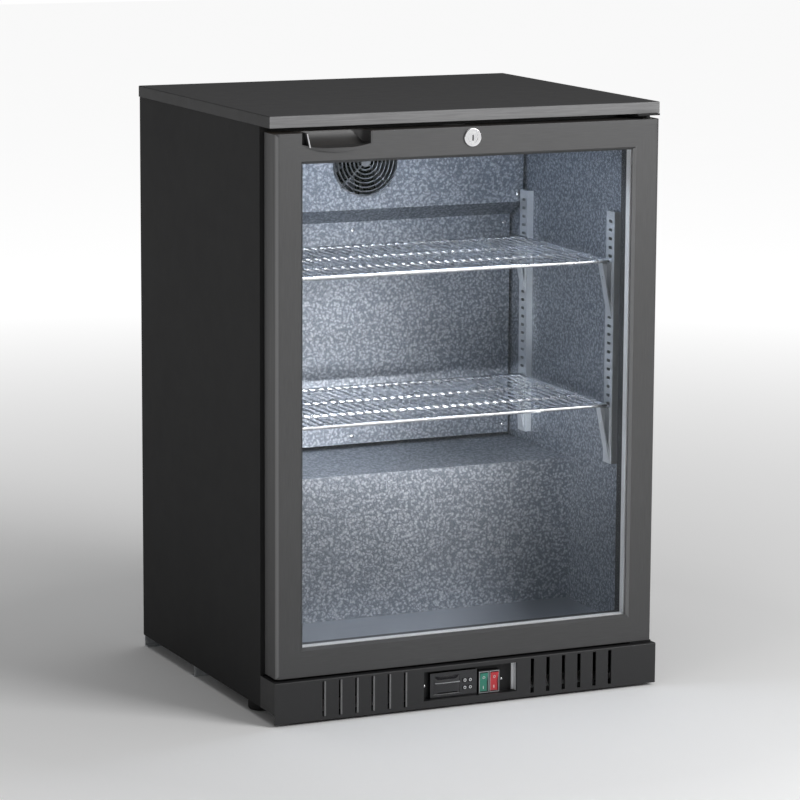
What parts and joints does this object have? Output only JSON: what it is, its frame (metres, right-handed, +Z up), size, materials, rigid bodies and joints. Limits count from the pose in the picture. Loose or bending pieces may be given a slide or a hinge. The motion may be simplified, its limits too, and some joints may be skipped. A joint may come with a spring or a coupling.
{
  "type": "undercounter refrigerator",
  "caption": "Low black bar cooler with a framed glass door, lift-out wire shelves, a slotted kick panel with controls, and a rear machine compartment.",
  "frame": {"origin": "on the floor, under the centre of the overall box", "axes": "+X to the right seen from the front, +Y to the back, +Z up"},
  "size_m": [0.6, 0.52, 0.85],
  "materials": {
    "worktop_steel": "satin black powder coat",
    "side_steel": "satin black powder coat",
    "board": "raw board",
    "galvanised": "spangled zinc",
    "foam": "rigid closed cell foam, matte",
    "lining": "satin aluminium sheet",
    "lining_stucco": "stucco embossed aluminium sheet",
    "plastic_dark": "fine grain",
    "plastic_black": "fine grain",
    "plastic_gloss": "polished",
    "plastic_handle": "satin",
    "rocker_green": "translucent look",
    "rocker_red": "translucent look",
    "door_frame": "brushed gunmetal anodised",
    "nylon": "natural nylon",
    "glass": "clear",
    "spacer": "bright satin",
    "rubber_black": "matte",
    "lock_chrome": "polished",
    "wire_chrome": "bright",
    "pilaster": "satin",
    "motor_paint": "black enamel",
    "coil": "mill finish fins",
    "diffuser": "opal",
    "fan_metal": "mill finish",
    "copper": "copper tube"
  },
  "bodies": {
    "cabinet": {"base_plate": "galvanised", "breaker_frame": "plastic_dark", "compressor": "motor_paint", "compressor_mounts": "rubber_black", "condenser_coil": "coil", "condenser_shroud": "motor_paint", "control_recess": "plastic_dark", "controller_case": "plastic_gloss", "cord_gland": "rubber_black", "duct_sheets": "motor_paint", "evaporation_tray": "plastic_black", "evaporator_coil": "coil", "evaporator_cover": "lining_stucco", "evaporator_motor": "motor_paint", "fan_guard": "wire_chrome", "fan_housing": "lining_stucco", "foam_insulation": "foam", "hinge_brackets": "side_steel", "kick_panel": "plastic_black", "left_side_panel": "side_steel", "light_bar": "diffuser", "lining_back": "lining_stucco", "lining_ceiling": "lining_stucco", "lining_floor": "lining", "lining_sides": "lining_stucco", "lining_step": "lining_stucco", "machine_housing": "galvanised", "rear_grille": "galvanised", "rear_panel": "galvanised", "refrigerant_pipes": "copper", "right_side_panel": "side_steel", "shelf_clips": "wire_chrome", "shelf_pilasters": "pilaster", "terminal_box": "plastic_black", "worktop": "worktop_steel", "worktop_core": "board"},
    "door": {"door_stile_left": "door_frame", "door_stile_right": "door_frame", "door_rail_top": "door_frame", "door_rail_bottom": "door_frame", "glass_outer": "glass", "glass_inner": "glass", "glass_spacer": "spacer", "door_gasket": "rubber_black", "handle_cup": "plastic_handle", "lock_housing": "lock_chrome", "hinge_bushes": "nylon"},
    "lock": {"lock_cylinder": "lock_chrome"},
    "upper_shelf": {"shelf_upper": "wire_chrome"},
    "lower_shelf": {"shelf_lower": "wire_chrome"},
    "cold_fan": {"evaporator_fan": "plastic_black"},
    "warm_fan": {"condenser_fan": "fan_metal"},
    "left_foot": {"foot_left": "rubber_black"},
    "right_foot": {"foot_right": "rubber_black"},
    "light_rocker": {"rocker_light": "rocker_green"},
    "power_rocker": {"rocker_power": "rocker_red"},
    "key_a": {"key_upper_left": "plastic_gloss"},
    "key_b": {"key_upper_right": "plastic_gloss"},
    "key_c": {"key_lower_left": "plastic_gloss"},
    "key_d": {"key_lower_right": "plastic_gloss"}
  },
  "joints": [
    {"name": "door_hinge", "type": "hinge", "parent": "cabinet", "child": "door", "pos_m": [0.28, -0.244, 0.446], "axis": [0, 0, 1], "range_deg": [0, 110]},
    {"name": "lock_turn", "type": "hinge", "parent": "door", "child": "lock", "pos_m": [0, -0.24, 0.8115], "axis": [0, 1, 0], "range_deg": [0, 90]},
    {"name": "upper_shelf_lift", "type": "slide", "parent": "cabinet", "child": "upper_shelf", "axis": [0, 0, 1], "range_m": [0, 0.02]},
    {"name": "lower_shelf_lift", "type": "slide", "parent": "cabinet", "child": "lower_shelf", "axis": [0, 0, 1], "range_m": [0, 0.02]},
    {"name": "cold_fan_spin", "type": "hinge", "parent": "cabinet", "child": "cold_fan", "pos_m": [0, 0.125, 0.741], "axis": [0, 1, 0], "continuous": true},
    {"name": "warm_fan_spin", "type": "hinge", "parent": "cabinet", "child": "warm_fan", "pos_m": [-0.15, 0.078, 0.116], "axis": [0, 1, 0], "continuous": true},
    {"name": "left_foot_turn", "type": "hinge", "parent": "cabinet", "child": "left_foot", "pos_m": [-0.2745, -0.1524, 0.01], "axis": [0, 0, 1], "continuous": true},
    {"name": "right_foot_turn", "type": "hinge", "parent": "cabinet", "child": "right_foot", "pos_m": [0.2745, -0.1524, 0.01], "axis": [0, 0, 1], "continuous": true},
    {"name": "light_rocker_tip", "type": "hinge", "parent": "cabinet", "child": "light_rocker", "pos_m": [0.0264, -0.246, 0.031], "axis": [1, 0, 0], "range_deg": [-12, 0]},
    {"name": "power_rocker_tip", "type": "hinge", "parent": "cabinet", "child": "power_rocker", "pos_m": [0.0431, -0.246, 0.031], "axis": [1, 0, 0], "range_deg": [-12, 0]},
    {"name": "key_upper_left_press", "type": "slide", "parent": "cabinet", "child": "key_a", "axis": [0, 1, 0], "range_m": [0, 0.0006], "stiffness_N_per_m": 300, "springref_m": -0.002},
    {"name": "key_upper_right_press", "type": "slide", "parent": "cabinet", "child": "key_b", "axis": [0, 1, 0], "range_m": [0, 0.0006], "stiffness_N_per_m": 300, "springref_m": -0.002},
    {"name": "key_lower_left_press", "type": "slide", "parent": "cabinet", "child": "key_c", "axis": [0, 1, 0], "range_m": [0, 0.0006], "stiffness_N_per_m": 300, "springref_m": -0.002},
    {"name": "key_lower_right_press", "type": "slide", "parent": "cabinet", "child": "key_d", "axis": [0, 1, 0], "range_m": [0, 0.0006], "stiffness_N_per_m": 300, "springref_m": -0.002}
  ]
}
